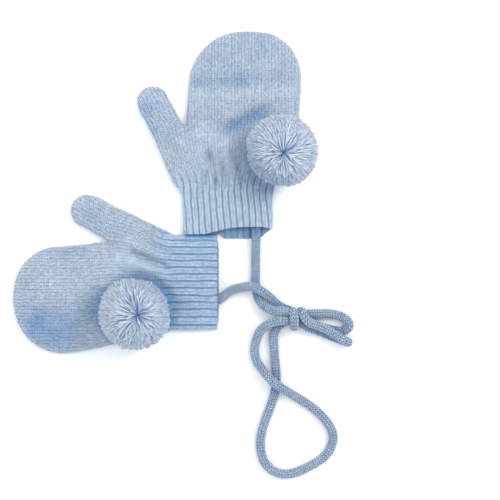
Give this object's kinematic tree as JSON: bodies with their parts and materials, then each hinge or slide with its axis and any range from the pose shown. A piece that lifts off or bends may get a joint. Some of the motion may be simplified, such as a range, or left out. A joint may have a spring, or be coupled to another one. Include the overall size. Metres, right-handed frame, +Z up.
{
  "type": "pair of baby mittens",
  "caption": "Pair of knitted baby mittens with ribbed cuffs and pompoms, laid flat and joined by a knotted knitted cord.",
  "frame": {"origin": "centre of the box round both mittens and their pompoms, on the surface they lie on; the cord is not counted", "axes": "+Z up from the surface, +Y towards the tip of the upper mitten, +X away from the tip of the lower mitten"},
  "size_m": [0.2154, 0.2838, 0.0516],
  "materials": {
    "knit": "matt light blue acrylic knit, fine stocking stitch and ribs",
    "pompom_yarn": "matt light blue cut acrylic yarn",
    "cord_knit": "matt light blue knitted tubular cord"
  },
  "bodies": {
    "root": {"upper_hand": "knit", "upper_thumb": "knit", "upper_cuff": "knit", "lower_hand": "knit", "lower_thumb": "knit", "lower_cuff": "knit", "upper_pompom": "pompom_yarn", "lower_pompom": "pompom_yarn", "cord_lead_upper": "cord_knit", "cord_lead_lower": "cord_knit", "cord_loop": "cord_knit", "cord_knot": "cord_knit"}
  },
  "joints": []
}
